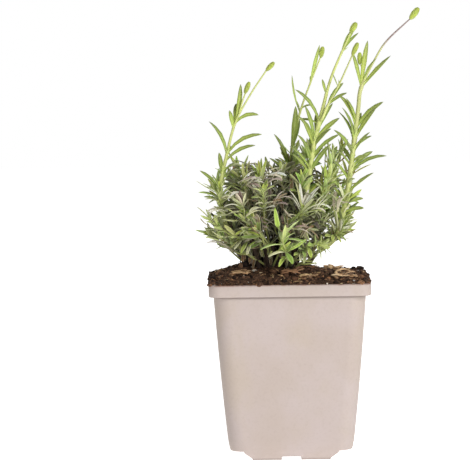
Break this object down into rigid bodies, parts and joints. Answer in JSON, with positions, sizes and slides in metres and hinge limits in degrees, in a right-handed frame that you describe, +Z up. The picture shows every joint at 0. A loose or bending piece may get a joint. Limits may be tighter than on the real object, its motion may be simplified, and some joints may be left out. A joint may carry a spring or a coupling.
{
  "type": "potted lavender",
  "caption": "Square tapered nursery pot holding a young lavender plant: a dense mound of narrow grey-green leaves and tall slender stems with closed flower buds.",
  "frame": {"origin": "centre of the flat underside of the pot, on the surface it stands on", "axes": "+Z up the pot and the plant, -Y the front, +X the side that the tallest shoot leans to"},
  "size_m": [0.1275, 0.09, 0.2509],
  "materials": {
    "pot_plastic": "matte",
    "compost": "matte",
    "bark": "matte",
    "young_leaf": "satin",
    "mound_leaf": "matte",
    "flower_bud": "satin",
    "bark_chip": "matte"
  },
  "bodies": {
    "root": {"bark_chip_1": "bark_chip", "bark_chip_2": "bark_chip", "bark_chip_3": "bark_chip", "bark_chip_4": "bark_chip", "bark_chip_5": "bark_chip", "bark_chip_6": "bark_chip", "bud_centre": "flower_bud", "bud_centre_side": "flower_bud", "bud_left": "flower_bud", "bud_left_side": "flower_bud", "bud_right": "flower_bud", "bud_right_side": "flower_bud", "bud_thin": "flower_bud", "foliage_01": "mound_leaf", "foliage_02": "mound_leaf", "foliage_03": "mound_leaf", "foliage_04": "mound_leaf", "foliage_05": "mound_leaf", "foliage_06": "mound_leaf", "foliage_07": "mound_leaf", "foliage_08": "mound_leaf", "foliage_09": "mound_leaf", "foliage_10": "mound_leaf", "foliage_11": "mound_leaf", "foliage_12": "mound_leaf", "foliage_13": "mound_leaf", "foliage_14": "mound_leaf", "foliage_15": "mound_leaf", "foliage_16": "mound_leaf", "foliage_17": "mound_leaf", "foliage_18": "mound_leaf", "foliage_19": "mound_leaf", "foliage_20": "mound_leaf", "foliage_21": "mound_leaf", "foliage_22": "mound_leaf", "foliage_23": "mound_leaf", "foliage_24": "mound_leaf", "foliage_25": "mound_leaf", "foliage_26": "mound_leaf", "foliage_27": "mound_leaf", "foliage_28": "mound_leaf", "foliage_29": "mound_leaf", "foliage_30": "mound_leaf", "foliage_31": "mound_leaf", "foliage_32": "mound_leaf", "foliage_33": "mound_leaf", "foliage_34": "mound_leaf", "foliage_35": "mound_leaf", "pot": "pot_plastic", "shoot_centre": "young_leaf", "shoot_centre_side": "young_leaf", "shoot_left": "young_leaf", "shoot_right": "young_leaf", "shoot_thin": "young_leaf", "soil": "compost", "woody_crown": "bark"}
  },
  "joints": []
}
